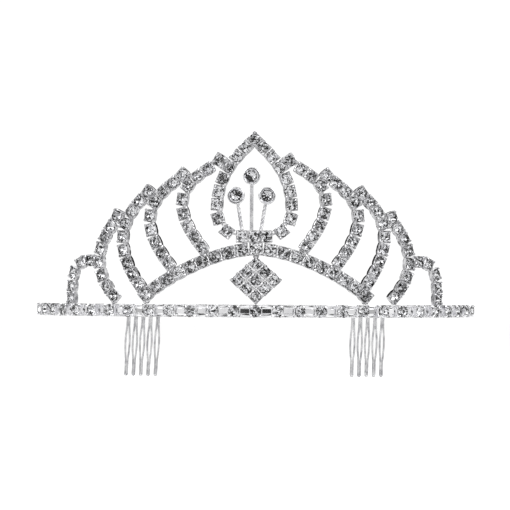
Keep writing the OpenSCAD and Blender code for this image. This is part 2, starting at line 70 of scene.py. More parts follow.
# How many packed widths the cups are drawn long and wide. PETAL_WIDE is for the petals'
# stones too, and SPRAY_WIDE for the stones and settings of the spray.
CHAIN_DRAWN = 1.08
CHAIN_WIDE = 1.05
PETAL_DRAWN = 1.17
PETAL_WIDE = 1.08
SPRAY_WIDE = 1.06

# A cup's floor under its stone's point, in millimetres
CUP_FLOOR = 0.28

Shape = bmesh.types.BMesh
Vert = bmesh.types.BMVert
Mesh = bpy.types.Mesh
Material = bpy.types.Material
Socket = bpy.types.NodeSocket
Tone = tuple[float, float, float]
Place = tuple[float, float, float]


class Side(Enum):
    """The two halves of the tiara, as seen from the front."""

    LEFT = "left"
    RIGHT = "right"


class Stalk(Enum):
    """The three stalks of the spray."""

    MIDDLE = "middle"
    LEFT = "left"
    RIGHT = "right"


# ---- finishes -----------------------------------------------------------------


class NodeBench:
    """Lays out the nodes of one material."""

    def __init__(self, name: str) -> None:
        """Starts an empty material with its output.

        Args:
            name: The material's name.
        """
        self.material = bpy.data.materials.new(name)
        self.material.use_nodes = True
        self.tree = self.material.node_tree
        self.tree.nodes.clear()
        self.output = self.add("ShaderNodeOutputMaterial")

    def add(self, kind: str, **inputs: object) -> bpy.types.Node:
        """Adds a node and fills its sockets.

        Args:
            kind: The node's type name.
            inputs: A value or a source for each socket, by name with spaces as underscores.

        Returns:
            The new node.
        """
        node = self.tree.nodes.new(kind)
        for key, value in inputs.items():
            socket = node.inputs[key.replace("_", " ")]
            if isinstance(value, Socket):
                self.link(value, socket)
            else:
                socket.default_value = value
        return node

    def link(self, source: Socket, target: Socket) -> None:
        """Joins two sockets."""
        self.tree.links.new(source, target)

    def noise(self, scale: float, detail: float = 3.0, rough: float = 0.5) -> Socket:
        """Adds a noise pattern fixed to the piece.

        Args:
            scale: Cells in a metre.
            detail: Octaves of finer noise.
            rough: Strength of the finer octaves.

        Returns:
            The pattern's value socket.
        """
        place = self.add("ShaderNodeTexCoord").outputs["Object"]
        pattern = self.add(
            "ShaderNodeTexNoise", Vector=place, Scale=scale, Detail=detail, Roughness=rough
        )
        return pattern.outputs["Fac"]

    def spread(
        self, source: Socket, low: float, high: float, least: float = 0.3, most: float = 0.7
    ) -> Socket:
        """Maps one range of values onto another.

        Args:
            source: The value.
            low: Where the new range starts.
            high: Where it ends.
            least: Where the old range starts; the middle of a noise if not given.
            most: Where it ends.

        Returns:
            The mapped value's socket.
        """
        ranges = {"From_Min": least, "From_Max": most, "To_Min": low, "To_Max": high}
        return self.add("ShaderNodeMapRange", Value=source, **ranges).outputs["Result"]

    def ramp(
        self,
        source: Socket,
        stops: Sequence[tuple[float, Tone]],
        stepped: bool = False,
    ) -> Socket:
        """Turns a value into a colour.

        Args:
            source: The value, 0 to 1.
            stops: Positions and their colours.
            stepped: Whether the colours change at once instead of blending.

        Returns:
            The colour socket.
        """
        node = self.add("ShaderNodeValToRGB", Fac=source)
        ramp = node.color_ramp
        ramp.interpolation = "CONSTANT" if stepped else "LINEAR"
        while len(ramp.elements) < len(stops):
            ramp.elements.new(0.5)
        for element, (position, tone) in zip(ramp.elements, stops):
            element.position = position
            element.color = (*tone, 1.0)
        return node.outputs["Color"]

    def product(self, one: Socket, other: Socket) -> Socket:
        """Multiplies two colours.

        Args:
            one: The first.
            other: The second.

        Returns:
            The product's socket.
        """
        node = self.add("ShaderNodeVectorMath")
        node.operation = "MULTIPLY"
        self.link(one, node.inputs[0])
        self.link(other, node.inputs[1])
        return node.outputs["Vector"]

    def blend(self, share: Socket, one: Socket, other: Socket) -> Socket:
        """Goes from one colour to another.

        Args:
            share: How far it goes, 0 to 1.
            one: The colour at 0.
            other: The colour at 1.

        Returns:
            The colour socket.
        """
        node = self.add("ShaderNodeMix")
        node.data_type = "RGBA"
        for place, source in ((0, share), (6, one), (7, other)):
            self.link(source, node.inputs[place])
        return node.outputs[2]

    def bump(self, source: Socket, strength: float, depth: float) -> Socket:
        """Adds a bump.

        Args:
            source: The height pattern.
            strength: Share of the full effect.
            depth: Height of the pattern, in millimetres.

        Returns:
            The normal socket.
        """
        node = self.add("ShaderNodeBump", Height=source, Strength=strength, Distance=depth * MM)
        return node.outputs["Normal"]

    def shade(self, **inputs: object) -> Material:
        """Adds the surface shader and joins it to the output.

        Args:
            inputs: A value or a source for each of its sockets.

        Returns:
            The finished material.
        """
        shader = self.add("ShaderNodeBsdfPrincipled", **inputs)
        self.link(shader.outputs["BSDF"], self.output.inputs["Surface"])
        return self.material


@dataclass(frozen=True)
class BrightPlate:
    """Bright plate over a pressed or drawn part, with the faint clouding of tumbled work."""

    name: str
    bright: Tone = (0.76, 0.76, 0.77)
    dull: Tone = (0.48, 0.48, 0.50)
    smooth: float = 0.06
    rough: float = 0.16
    cloud: float = 700.0
    grain: float = 9000.0
    grain_depth: float = 0.004

    def material(self) -> Material:
        """Makes the material.

        Returns:
            The material.
        """
        bench = NodeBench(self.name)
        cloud = bench.noise(self.cloud, detail=4.0, rough=0.6)
        grain = bench.noise(self.grain, detail=2.0)
        return bench.shade(
            Metallic=1.0,
            Base_Color=bench.ramp(cloud, [(0.35, self.dull), (0.6, self.bright)]),
            Roughness=bench.spread(cloud, self.rough, self.smooth),
            Normal=bench.bump(grain, strength=0.5, depth=self.grain_depth),
        )


@dataclass(frozen=True)
class SolderSkin:
    """The skin of a solder drop: duller than the plate, and a little rippled."""

    name: str = "solder_skin"
    bright: Tone = (0.72, 0.72, 0.73)
    dull: Tone = (0.42, 0.42, 0.43)
    smooth: float = 0.22
    rough: float = 0.42
    ripples: float = 1400.0

    def material(self) -> Material:
        """Makes the material.

        Returns:
            The material.
        """
        bench = NodeBench(self.name)
        ripple = bench.noise(self.ripples, rough=0.6)
        return bench.shade(
            Metallic=1.0,
            Base_Color=bench.ramp(ripple, [(0.3, self.dull), (0.65, self.bright)]),
            Roughness=bench.spread(ripple, self.rough, self.smooth),
            Normal=bench.bump(ripple, strength=0.7, depth=0.06),
        )


@dataclass(frozen=True)
class CutGlass:
    """The clear crown of a stone."""

    name: str = "cut_glass"
    tint: Tone = (0.98, 0.985, 1.0)
    ior: float = 1.56
    rough: float = 0.008

    def material(self) -> Material:
        """Makes the material.

        Returns:
            The material.
        """
        bench = NodeBench(self.name)
        return bench.shade(
            Base_Color=(*self.tint, 1.0),
            Transmission_Weight=1.0,
            IOR=self.ior,
            Roughness=bench.spread(bench.noise(2500.0), 0.0, self.rough),
        )


@dataclass(frozen=True)
class FoilBack:
    """The foil behind a stone, with painted sparkle: each facet gets its own random grey, a
    painted reflection of the light that it throws back.
    """

    name: str = "foil_back"
    rough: float = 0.02
    speck_size: float = 1300.0
    specks: tuple[tuple[float, Tone], ...] = (
        (0.405, (0.01, 0.01, 0.01)),
        (0.425, (1.0, 1.0, 1.0)),
    )
    # Painted reflections: the grey that each facet's random value gives the foil, stepped
    facets: tuple[tuple[float, Tone], ...] = (
        (0.0, (0.25, 0.25, 0.25)),
        (0.06, (0.85, 0.85, 0.86)),
        (0.24, (0.96, 0.96, 0.97)),
        (0.55, (1.0, 1.0, 1.0)),
    )

    def material(self) -> Material:
        """Makes the material.

        Returns:
            The material.
        """
        bench = NodeBench(self.name)
        # Each facet's random grey from the stones: painted sparkle in the foil's base colour
        facet = bench.add("ShaderNodeAttribute")
        facet.attribute_name = PAINTED_SPARKLE
        facets = bench.ramp(facet.outputs["Fac"], self.facets, stepped=True)
        specks = bench.ramp(bench.noise(self.speck_size, detail=1.0, rough=0.4), self.specks)
        return bench.shade(
            Metallic=1.0,
            Base_Color=bench.product(facets, specks),
            Roughness=bench.spread(bench.noise(4000.0), 0.0, self.rough),
        )


@dataclass(frozen=True)
class PaleFloor:
    """The plain pale floor."""

    name: str = "pale_floor"
    dull: Tone = (0.985, 0.985, 0.985)
    bright: Tone = (0.995, 0.995, 0.995)

    def material(self) -> Material:
        """Makes the material.

        Returns:
            The material.
        """
        bench = NodeBench(self.name)
        return bench.shade(
            Roughness=0.9,
            Base_Color=bench.ramp(bench.noise(3.0), [(0.3, self.dull), (0.7, self.bright)]),
        )


@dataclass(frozen=True)
class FinishRack:
    """All the finishes, each made once."""

    band: Material = field(
        default_factory=BrightPlate(
            "bright_band",
            bright=(0.97, 0.97, 0.98),
            dull=(0.84, 0.84, 0.86),
            smooth=0.03,
            rough=0.08,
            cloud=260.0,
            grain_depth=0.001,
        ).material
    )
    cups: Material = field(default_factory=BrightPlate("cup_plate").material)
    wire: Material = field(
        default_factory=BrightPlate(
            "wire_plate",
            bright=(0.86, 0.86, 0.87),
            dull=(0.52, 0.52, 0.54),
            smooth=0.05,
            rough=0.14,
            cloud=500.0,
        ).material
    )
    solder: Material = field(default_factory=SolderSkin().material)
    glass: Material = field(default_factory=CutGlass().material)
    foil: Material = field(default_factory=FoilBack().material)


# ---- shaping helpers ----------------------------------------------------------


def turned(axis: str, degrees: float) -> Matrix:
    """A turn about an axis through the origin."""
    return Matrix.Rotation(math.radians(degrees), 4, axis)


def moved(x: float, y: float, z: float) -> Matrix:
    """A move, in metres."""
    return Matrix.Translation((x, y, z))


def facing(origin: Vector, out: Vector, right: Vector) -> Matrix:
    """A frame with its Z along `out` and its X along `right`.

    Args:
        origin: The frame's origin.
        out: Where its Z points.
        right: Where its X points, before it is made square to Z.

    Returns:
        The frame as a matrix.
    """
    z = out.normalized()
    y = z.cross(right).normalized()
    x = y.cross(z)
    return Matrix.Translation(origin) @ Matrix((x, y, z)).transposed().to_4x4()


def open_ring(bm: Shape, segments: int, radius: float, at: Matrix) -> list[Vert]:
    """Makes an open ring of edges.

    Args:
        bm: The shape that takes it.
        segments: Sides of the ring.
        radius: Its radius, in metres.
        at: Its frame.

    Returns:
        The ring's points.
    """
    made = bmesh.ops.create_circle(bm, cap_ends=False, segments=segments, radius=radius, matrix=at)
    return made["verts"]


def ring_edges(verts: Iterable[Vert]) -> list[bmesh.types.BMEdge]:
    """The edges that join the points of a ring to one another."""
    ring = set(verts)
    return [e for e in {e for v in ring for e in v.link_edges} if all(v in ring for v in e.verts)]


def grow(bm: Shape, ring: list[Vert], step: Matrix) -> list[Vert]:
    """Extrudes a ring and moves the new one.

    Args:
        bm: The shape.
        ring: The ring's points.
        step: What takes the old ring to the new one.

    Returns:
        The new ring's points.
    """
    made = bmesh.ops.extrude_edge_only(bm, edges=ring_edges(ring))
    new = [v for v in made["geom"] if isinstance(v, Vert)]
    bmesh.ops.transform(bm, matrix=step, verts=new)
    return new


def close(bm: Shape, ring: list[Vert]) -> None:
    """Fills a ring with a face."""
    bmesh.ops.contextual_create(bm, geom=ring_edges(ring))


def draw_wire(
    bm: Shape,
    stations: Sequence[Matrix],
    radius: float,
    segments: int = 10,
    taper: Callable[[float], float] = lambda share: 1.0,
) -> None:
    """Draws a round wire through a row of frames, with closed ends.

    Args:
        bm: The shape that takes it.
        stations: Frames whose Z runs along the wire.
        radius: Its radius, in metres.
        segments: Sides of the wire.
        taper: Share of the radius, by share of the way along.
    """
    last = len(stations) - 1
    sized = [s @ Matrix.Scale(taper(i / last), 4) for i, s in enumerate(stations)]
    ring = open_ring(bm, segments, radius, sized[0])
    close(bm, ring)
    for before, after in zip(sized, sized[1:]):
        ring = grow(bm, ring, after @ before.inverted())
    close(bm, ring)


def along(points: Sequence[Vector], side: Vector) -> list[Matrix]:
    """Frames along a row of points, each square to the path.

    Args:
        points: The path.
        side: A direction that is never along the path.

    Returns:
        One frame for each point.
    """
    frames = []
    for i, point in enumerate(points):
        ahead = points[min(i + 1, len(points) - 1)] - points[max(i - 1, 0)]
        frames.append(facing(point, ahead, side))
    return frames


def settled(bm: Shape) -> Shape:
    """Turns a shape's faces outwards."""
    bmesh.ops.recalc_face_normals(bm, faces=bm.faces)
    return bm


def ease(bm: Shape, geom: Sequence[object], offset: float, segments: int, affect: str) -> None:
    """Rounds edges or corners over.

    Args:
        bm: The shape.
        geom: The edges or corners.
        offset: Where the round starts, in millimetres.
        segments: Flats of the round.
        affect: EDGES or VERTICES.
    """
    bmesh.ops.bevel(
        bm,
        geom=geom,
        offset=offset * MM,
        segments=segments,
        profile=0.5,
        affect=affect,
        material=-1,
    )


def mesh_of(name: str, bm: Shape) -> Mesh:
    """Turns a shape into a mesh.

    Args:
        name: The mesh's name.
        bm: The finished shape, which is freed.

    Returns:
        The mesh.
    """
    mesh = bpy.data.meshes.new(name)
    bm.to_mesh(mesh)
    bm.free()
    return mesh


def piece(
    name: str,
    bm: Shape,
    materials: Sequence[Material],
    smooth: bool,
    sharp: float = ROUND_EDGE,
) -> bpy.types.Object:
    """Turns a shape into an object at the origin.

    Args:
        name: The piece's name.
        bm: The finished shape, which is freed.
        materials: Its material slots, in order.
        smooth: Whether its faces are shaded smooth, with sharp edges kept.
        sharp: The least angle of an edge that stays sharp, in degrees.

    Returns:
        The object.
    """
    mesh = mesh_of(name, bm)
    for material in materials:
        mesh.materials.append(material)
    if smooth:
        mesh.shade_smooth()
        mesh.set_sharp_from_angle(angle=math.radians(sharp))
    made = bpy.data.objects.new(name, mesh)
    bpy.context.scene.collection.objects.link(made)
    return made


def stamp(bm: Shape, die: Mesh, at: Matrix) -> list[bmesh.types.BMFace]:
    """Adds a copy of a die to a shape.

    Args:
        bm: The shape.
        die: The mesh to copy.
        at: Where the copy stands.

    Returns:
        The copy's faces.
    """
    before = len(bm.faces)
    first = len(bm.verts)
    bm.from_mesh(die)
    bm.verts.ensure_lookup_table()
    bm.faces.ensure_lookup_table()
    bmesh.ops.transform(bm, matrix=at, verts=bm.verts[first:])
    return bm.faces[before:]


def seat(made: bpy.types.Object, slot: str, *nodes: str) -> bpy.types.Object:
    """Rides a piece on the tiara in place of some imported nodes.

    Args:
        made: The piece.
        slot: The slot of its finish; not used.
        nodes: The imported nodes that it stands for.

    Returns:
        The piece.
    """
    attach(made, "root")
    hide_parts(*nodes)
    LOG.info("%s: %d faces", made.name, len(made.data.polygons))
    return made


# ---- where the cups stand -----------------------------------------------------


def packed_points(node: str) -> list[Vector]:
    """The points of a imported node."""
    return [v.co.copy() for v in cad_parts[node].data.vertices]


@dataclass(frozen=True)
class CupPlace:
    """One cup's place: X along the chain, Z out to the front, origin at the cup's back."""

    at: Matrix
    width: float
    stone: float

    @property
    def middle(self) -> Vector:
        """The middle of the cup's back."""
        return self.at.translation


@dataclass
class PackedChain:
    """Reads the cups' places back from a chain and its stones."""

    chain: str
    stones: str
    floor: float = CUP_FLOOR
    cup_over_stone: float = 0.30
    table_zone: float = 0.1
    back_zone: float = 0.012
    back_from: float = 0.4
    back_to: float = 0.66

    def places(self) -> list[CupPlace]:
        """One place for each stone."""
        cups = packed_points(self.chain)
        return [self.place(island, cups) for island in self.islands()]

    def islands(self) -> list[list[Vector]]:
        """Parts the stones from one another.

        Returns:
            The points of each stone.
        """
        bm = bmesh.new()
        bm.from_mesh(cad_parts[self.stones].data)
        bmesh.ops.remove_doubles(bm, verts=bm.verts, dist=0.0005 * MM)
        left = set(bm.verts)
        found = []
        while left:
            edge = [next(iter(left))]
            left.discard(edge[0])
            island = []
            while edge:
                v = edge.pop()
                island.append(v.co.copy())
                for e in v.link_edges:
                    other = e.other_vert(v)
                    if other in left:
                        left.discard(other)
                        edge.append(other)
            found.append(island)
        bm.free()
        return found

    def place(self, stone: list[Vector], cups: list[Vector]) -> CupPlace:
        """Works out one cup's place.

        Args:
            stone: The points of its stone.
            cups: The points of the whole chain.

        Returns:
            The place.
        """
        middle = sum(stone, Vector()) / len(stone)
        inward = self.inward(stone, middle)
        culet = max(stone, key=lambda p: (p - middle).xy.dot(inward))
        axis = (middle - culet).normalized()
        level = [((p - culet).dot(axis), p) for p in stone]
        top = max(h for h, _ in level)
        table = [p for h, p in level if h > top - self.table_zone * MM]
        out = sum(table, Vector()) / len(table) - culet
        out.z = 0.0
        out.normalize()
        reach = max((p - culet - out * (p - culet).dot(out)).length for p in stone)
        diameter = 2 * reach
        width = diameter + self.cup_over_stone * MM
        flat = facing(culet - out * self.floor * MM, out, Vector((-out.y, out.x, 0.0)))
        to_cup = flat.inverted()
        near = [to_cup @ p for p in cups if (p - flat.translation).length < width * self.back_to]
        back = [p for p in near if abs(p.z) < self.back_zone * MM]
        angles = [4 * math.atan2(p.y, p.x) for p in back if p.xy.length > width * self.back_from]
        turn = sum((complex(math.cos(a), math.sin(a)) for a in angles), 0j)
        heading = math.atan2(-turn.imag, -turn.real) / 4
        return CupPlace(flat @ Matrix.Rotation(heading, 4, "Z"), width, diameter)

    @staticmethod
    def inward(stone: list[Vector], middle: Vector) -> Vector:
        """Finds the level direction in which a stone is thinnest.

        Args:
            stone: The stone's points.
            middle: Their middle.

        Returns:
            The direction that points to the back.
        """
        spread = [[0.0, 0.0], [0.0, 0.0]]
        for p in stone:
            d = (p.x - middle.x, p.y - middle.y)
            for i in range(2):
                for j in range(2):
                    spread[i][j] += d[i] * d[j]
        angle = 0.5 * math.atan2(2 * spread[0][1], spread[0][0] - spread[1][1]) + math.pi / 2
        way = Vector((math.cos(angle), math.sin(angle)))
        return way if way.y > 0 else -way


# ---- stones -------------------------------------------------------------------


@dataclass(frozen=True)
class BrilliantCut:
    """A round stone, ground facet by facet from a short rod, one unit across."""

    pavilion: float = 0.42
    girdle: float = 0.03
    crown: float = 0.17
    table: float = 0.56
    star_angle: float = 21.0
    half_angle: float = 42.0
    lower_angle: float = 42.5
    main_lower_angle: float = 39.2
    mains: int = 8

    def grind(self, bm: Shape, azimuth: float, tilt: float, through: Vector) -> None:
        """Grinds one flat.

        Args:
            bm: The rough stone.
            azimuth: Direction of the flat round the stone, in degrees.
            tilt: Angle of its normal from the stone's axis, in degrees.
            through: A point that it passes through.
        """
        normal = turned("Z", azimuth) @ turned("Y", tilt) @ Vector((0, 0, 1))
        cut = bmesh.ops.bisect_plane(
            bm,
            geom=[*bm.verts, *bm.edges, *bm.faces],
            dist=1e-6,
            plane_co=through,
            plane_no=normal,
            clear_outer=True,
        )
        rim = [e for e in cut["geom_cut"] if isinstance(e, bmesh.types.BMEdge)]
        if rim:
            bmesh.ops.contextual_create(bm, geom=rim)

    def at(self, azimuth: float, radius: float, z: float) -> Vector:
        """A point on the stone."""
        return turned("Z", azimuth) @ Vector((radius, 0, z))

    def die(self) -> Mesh:
        """Cuts the stone.

        Returns:
            A mesh whose culet is at the origin, with the foiled facets in material slot 1.
        """
        bm = bmesh.new()
        step = 360 / self.mains
        rim = self.pavilion + self.girdle
        top = self.pavilion + self.girdle + self.crown
        main = math.degrees(math.atan2(self.crown, 0.5 - self.table / 2))
        flat = self.table / 2 * math.cos(math.radians(step / 2))
        bmesh.ops.create_cone(
            bm,
            cap_ends=True,
            segments=2 * self.mains,
            radius1=0.5,
            radius2=0.5,
            depth=top * 2,
            matrix=moved(0, 0, top / 2) @ turned("Z", step / 4),
        )
        self.grind(bm, 0, 0, Vector((0, 0, top)))
        for k in range(self.mains):
            azimuth = step * k
            star = azimuth + step / 2
            self.grind(bm, azimuth, main, self.at(azimuth, 0.5, rim))
            self.grind(bm, star, self.star_angle, self.at(star, flat, top))
            self.grind(bm, azimuth, 180 - self.main_lower_angle, Vector((0, 0, 0)))
            for half in (azimuth - step / 4, azimuth + step / 4):
                self.grind(bm, half, self.half_angle, self.at(half, 0.5, rim))
                self.grind(bm, half, 180 - self.lower_angle, self.at(half, 0.5, self.pavilion))
        bmesh.ops.remove_doubles(bm, verts=bm.verts, dist=1e-4)
        settled(bm)
        for face in bm.faces:
            face.material_index = 1 if face.normal.z < 0.02 else 0
        return mesh_of("stone_die", bm)


@dataclass
class StoneSet:
    """The stones of one chain, or one stone of the spray."""

    name: str
    node: str
    places: Sequence[CupPlace]
    die: Mesh
    floor: float = CUP_FLOOR
    wide: float = 1.0
    most_tipped: float = 2.5
    # Most that one stone's painted sparkle is made lighter or darker
    painted_sparkle_shift: float = 0.12

    def build(self) -> Shape:
        """Sets a stone in each place, each turned its own way, with painted sparkle: each facet
        gets a random grey, a painted reflection, shifted a little for the whole stone.

        Returns:
            The stones.
        """
        bm = bmesh.new()
        # The layer of painted sparkle: a random grey for each facet
        tone = bm.faces.layers.float.new(PAINTED_SPARKLE)
        luck = random.Random(f"{SEED} {self.node}")
        lift = moved(0, 0, self.floor * MM)
        for spot in self.places:
            turn = Matrix.Rotation(luck.uniform(0, math.tau), 4, "Z")
            tipped = math.radians(luck.uniform(-self.most_tipped, self.most_tipped))
            tip = Matrix.Rotation(tipped, 4, "X")
            across = spot.stone * self.wide
            size = Matrix.Diagonal((across, across, spot.stone, 1))
            faces = stamp(bm, self.die, spot.at @ lift @ tip @ turn @ size)
            # Painted sparkle: a random grey on each facet, shifted for the whole stone
            shift = luck.uniform(-self.painted_sparkle_shift, self.painted_sparkle_shift)
            for face in faces:
                face[tone] = min(1.0, max(0.0, luck.random() + shift))
        return bm

    def dress(self, rack: FinishRack) -> bpy.types.Object:
        """Makes the piece in glass and foil."""
        made = piece(self.name, self.build(), [rack.glass, rack.foil], smooth=False)
        return seat(made, "rhinestone", self.node)


# ---- cups ---------------------------------------------------------------------


@dataclass(frozen=True)
class ClawCup:
    """A pressed square cup with a round seat and four claws bent over the stone."""

    width: float
    stone: float
    sides: int = 16
    floor: float = CUP_FLOOR
    pavilion: float = BrilliantCut.pavilion
    girdle: float = 0.10
    slack: float = 0.03
    sink: float = 0.06
    seat_foot: float = 0.25
    dip: float = 0.30
    claw_radius: float = 0.31
    claw_sides: int = 6
    claw_corner: float = 0.675
    claw_taper: float = 0.40

    @property
    def rim(self) -> float:
        """Height of the stone's girdle, where the claws turn in."""
        return self.floor + self.pavilion * self.stone + self.girdle

    def squared(self, v: Vert, corner: float) -> None:
        """Draws a point of a round ring out to the cup's square outline.

        Args:
            v: The point.
            corner: How far the outline's corners lie from the middle, in cup widths.
        """
        a = math.atan2(v.co.y, v.co.x)
        r = min(0.5 / max(abs(math.cos(a)), abs(math.sin(a))), corner) * self.width * MM
        v.co.x = r * math.cos(a)
        v.co.y = r * math.sin(a)

    def shell(self, bm: Shape) -> None:
        """Presses the cup's wall, from the seat over the rim and down to the back.

        Args:
            bm: The empty cup.
        """
        top = self.stone / 2 + self.slack
        seat_z = self.rim - self.girdle - self.slack
        at = moved(0, 0, (self.floor - self.sink) * MM)
        ring = open_ring(bm, self.sides, self.seat_foot * MM, at)
        close(bm, ring)
        rise = moved(0, 0, (seat_z - self.floor + self.sink) * MM)
        wider = top / self.seat_foot
        ring = grow(bm, ring, rise @ Matrix.Diagonal((wider, wider, 1, 1)))
        rows = [
            (self.rim - 0.02, 0.670, self.dip),
            (self.rim - 0.14, 0.690, self.dip),
            (self.floor + 0.3, 0.665, 0.0),
            (0.0, 0.620, 0.0),
        ]
        for z, corner, dip in rows:
            ring = grow(bm, ring, Matrix.Identity(4))
            for v in ring:
                self.squared(v, corner)
                flat = math.cos(2 * math.atan2(v.co.y, v.co.x)) ** 2
                v.co.z = (z - dip * flat) * MM
        close(bm, ring)

    def claw(self, bm: Shape, azimuth: float) -> None:
        """Raises one claw from its corner and bends it over the stone.

        Args:
            bm: The cup.
            azimuth: The corner's direction, in degrees.
        """
        r = self.stone / 2
        corner = self.claw_corner * self.width
        path = [
            (corner - 0.30, self.rim - 0.6),
            (corner - 0.28, self.rim - 0.05),
            (corner - 0.36, self.rim + 0.18),
            (r + 0.12, self.rim + 0.34),
            (r - 0.08, self.rim + 0.34),
            (r - 0.22, self.rim + 0.26),
        ]
        turn = turned("Z", azimuth)
        points = [turn @ Vector((x * MM, 0, z * MM)) for x, z in path]
        side = turn @ Vector((0, 1, 0))
        draw_wire(
            bm,
            along(points, side),
            self.claw_radius * MM,
            self.claw_sides,
            lambda share: 1.0 - self.claw_taper * share**6,
        )

    def die(self) -> Mesh:
        """Makes the cup.

        Returns:
            A mesh whose back is at z = 0.
        """
        bm = bmesh.new()
        self.shell(bm)
        for azimuth in (45, 135, 225, 315):
            self.claw(bm, azimuth)
        return mesh_of("cup_die", settled(bm))


@dataclass
class CupChain:
    """One chain: a cup at each place, and what joins the cups."""

    name: str
    node: str
    places: Sequence[CupPlace]
    link_radius: float = 0.36
    link_height: float = 0.65
    link_inset: float = 0.36
    link_waist: float = 0.86
    reach: float = 1.36
    most_drawn: float = CHAIN_DRAWN
    cup_gap: float = 0.05
    wide: float = 1.0

    def pairs(self) -> list[tuple[CupPlace, CupPlace]]:
        """Finds the cups that lie next to each other.

        Returns:
            Each pair of them.
        """
        return [
            (a, b)
            for a, b in combinations(self.places, 2)
            if (a.middle - b.middle).length < self.reach * a.width
        ]

    def drawn(self, spot: CupPlace, near: Sequence[CupPlace]) -> Matrix:
        """Draws a cup out until it all but meets the cups beside it.

        Args:
            spot: The cup's place.
            near: The cups next to it.

        Returns:
            A scale in the cup's own frame.
        """
        size = [self.most_drawn, self.most_drawn]
        met = [False, False]
        back = spot.at.inverted()
        for other in near:
            d = back @ other.middle
            axis = 0 if abs(d.x) > abs(d.y) else 1
            if min(abs(d.x), abs(d.y)) > 0.5 * max(abs(d.x), abs(d.y)):
                continue
            met[axis] = True
            size[axis] = min(size[axis], (d.length - self.cup_gap * MM) / spot.width)
        x, y = (max(1.0, s) if m else self.wide for s, m in zip(size, met))
        return Matrix.Diagonal((x, y, 1, 1))

    def link(self, bm: Shape, a: CupPlace, b: CupPlace) -> None:
        """Draws the wire link between two cups, a little waisted.

        Args:
            bm: The chain.
            a: The first cup's place.
            b: The second's.
        """
        lift = (a.at.col[2].xyz + b.at.col[2].xyz).normalized() * self.link_height * MM
        start, end = a.middle + lift, b.middle + lift
        inset = self.link_inset * a.width / (end - start).length
        points = [start.lerp(end, inset + (1 - 2 * inset) * k / 4) for k in range(5)]
        draw_wire(
            bm,
            along(points, lift),
            self.link_radius * MM,
            8,
            lambda share: self.link_waist + (1 - self.link_waist) * abs(2 * share - 1),
        )

    def build(self) -> Shape:
        """Makes the whole chain.

        Returns:
            The cups and what joins them.
        """
        bm = bmesh.new()
        dies: dict[float, Mesh] = {}
        pairs = self.pairs()
        for spot in self.places:
            near = [b if a is spot else a for a, b in pairs if spot is a or spot is b]
            width = round(spot.width / MM, 2)
            if width not in dies:
                dies[width] = ClawCup(width, spot.stone / MM).die()
            stamp(bm, dies[width], spot.at @ self.drawn(spot, near))
        for a, b in pairs:
            self.link(bm, a, b)
        return bm

    def plate(self, rack: FinishRack) -> Material:
        """The finish of the cups and what joins them."""
        return rack.cups

    def dress(self, rack: FinishRack) -> bpy.types.Object:
        """Makes the piece in bright plate."""
        made = piece(self.name, self.build(), [self.plate(rack)], smooth=True, sharp=FLAT_EDGE)
        return seat(made, "setting_plate", self.node)


@dataclass
class BandChain(CupChain):
    """The headband's chain, whose cups are joined by flat bars."""

    bar_width: float = 1.6
    bar_depth: float = 0.56
    bar_lift: float = 0.04
    bar_tuck: float = 0.5
    bar_ease: float = 0.12
    reach: float = 2.0
    most_drawn: float = 1.0

    def plate(self, rack: FinishRack) -> Material:
        """The headband's own brighter finish."""
        return rack.band

    def link(self, bm: Shape, a: CupPlace, b: CupPlace) -> None:
        """Lays the flat bar between two cups, with its edges eased.

        Args:
            bm: The chain.
            a: The first cup's place.
            b: The second's.
        """
        out = (a.at.col[2].xyz + b.at.col[2].xyz).normalized()
        start, end = a.middle, b.middle
        length = (end - start).length - a.width + 2 * self.bar_tuck * MM
        spot = facing(start.lerp(end, 0.5), out, end - start)
        sag = a.at.col[2].xyz.angle(b.at.col[2].xyz) * (end - start).length / 8
        made = bmesh.ops.create_cube(
            bm,
            size=1.0,
            matrix=spot
            @ moved(0, 0, sag + (self.bar_lift + self.bar_depth / 2) * MM)
            @ Matrix.Diagonal((length, self.bar_width * MM, self.bar_depth * MM, 1)),
        )
        edges = list({e for v in made["verts"] for e in v.link_edges})
        ease(bm, edges, self.bar_ease, 2, "EDGES")


# ---- headband -----------------------------------------------------------------


